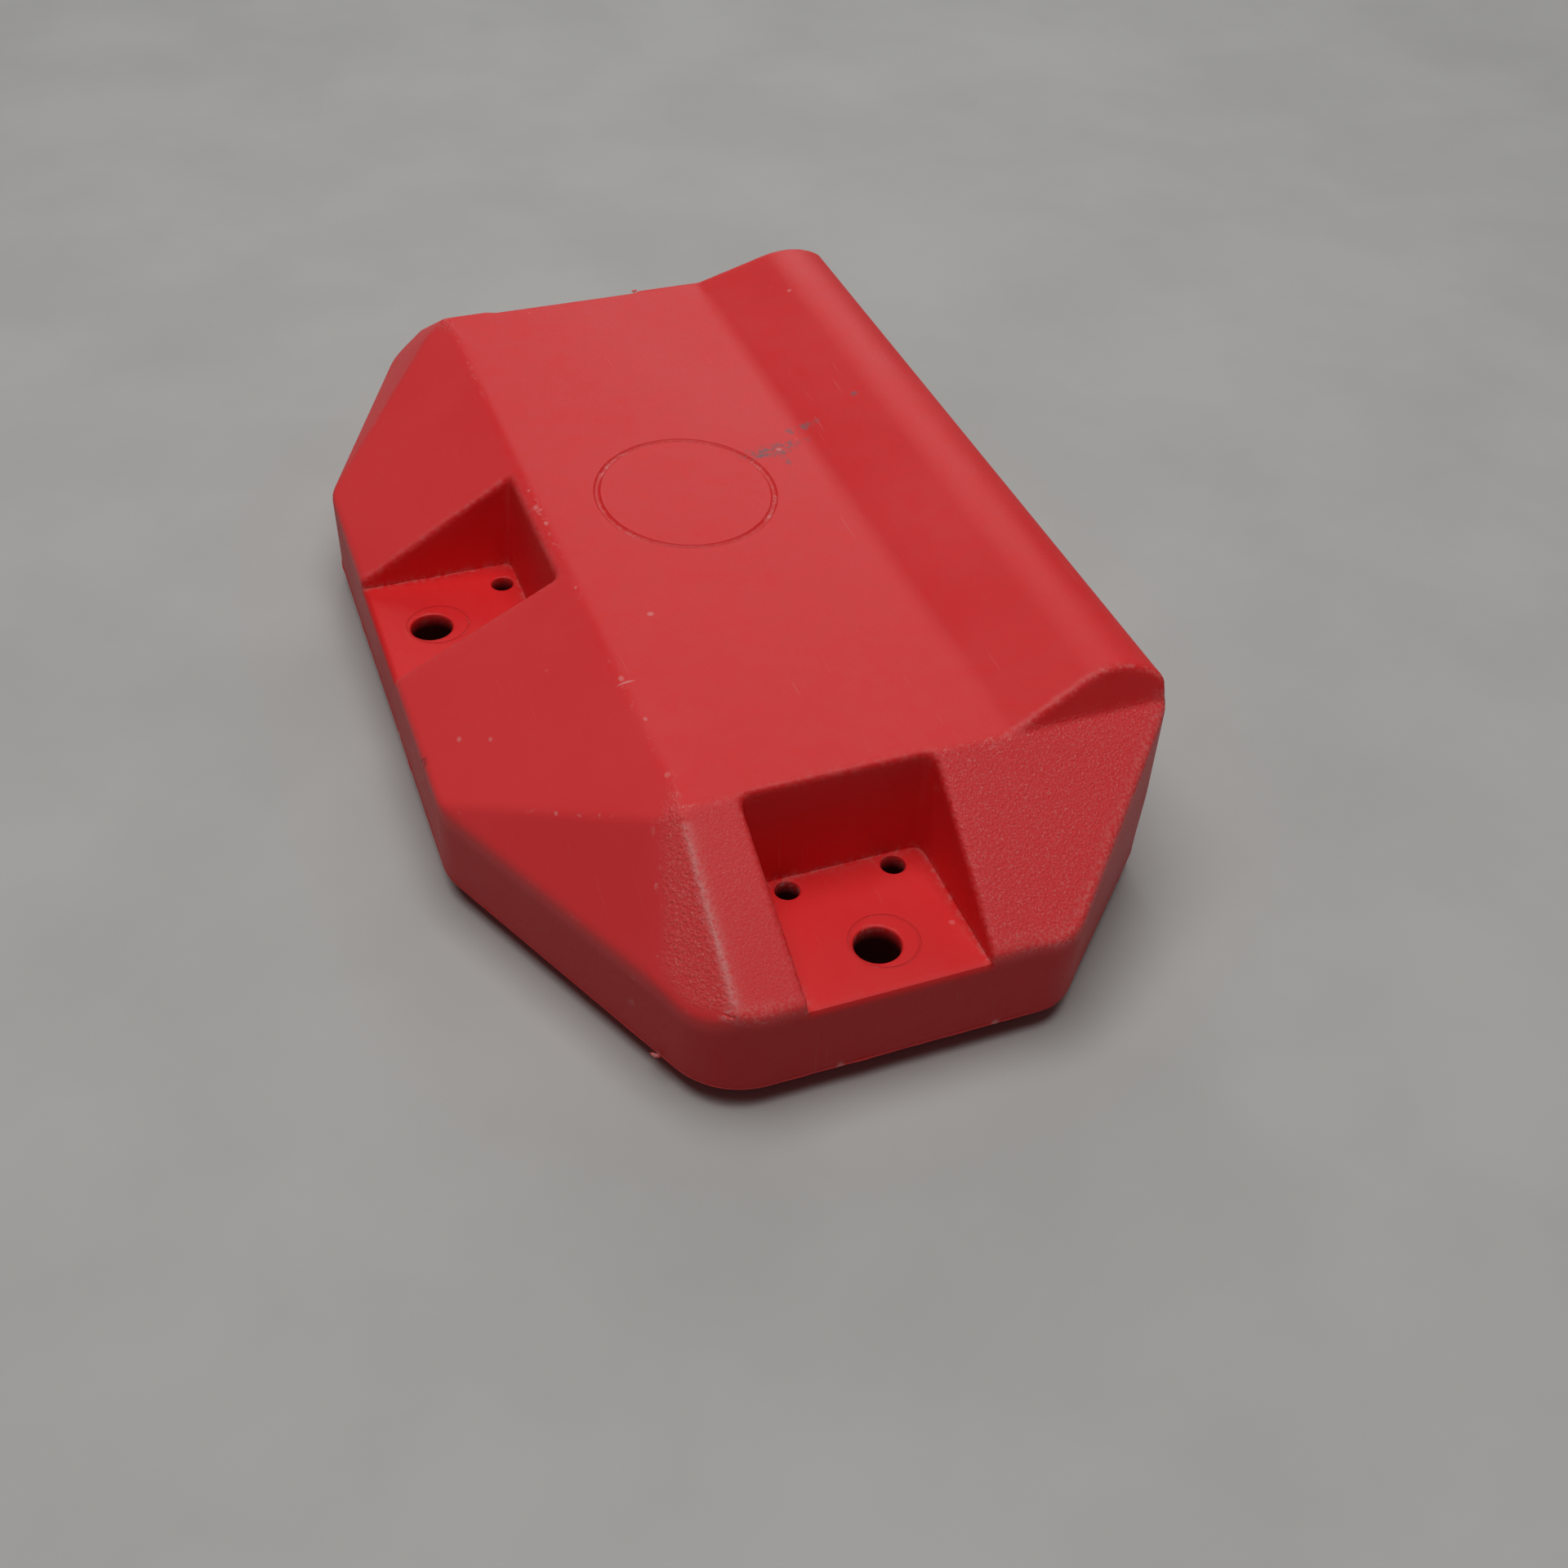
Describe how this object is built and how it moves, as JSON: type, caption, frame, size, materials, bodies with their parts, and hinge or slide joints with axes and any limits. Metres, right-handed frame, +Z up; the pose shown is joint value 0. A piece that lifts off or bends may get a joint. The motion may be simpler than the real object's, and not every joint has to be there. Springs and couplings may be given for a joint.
{
  "type": "percussion block",
  "caption": "Hollow plastic percussion block with a raised striking ridge, a front mouth and bolt pockets for a rod bracket.",
  "frame": {"origin": "middle of the underside", "axes": "+X along the block towards its right end, +Y towards the player (the ridge and mouth side), +Z up"},
  "size_m": [0.19, 0.101, 0.0393],
  "materials": {
    "red_plastic": "satin moulded red plastic, sand texture on the end slopes",
    "red_plastic_base": "satin moulded red plastic"
  },
  "bodies": {
    "root": {"upper_shell": "red_plastic", "lower_shell": "red_plastic_base"}
  },
  "joints": []
}
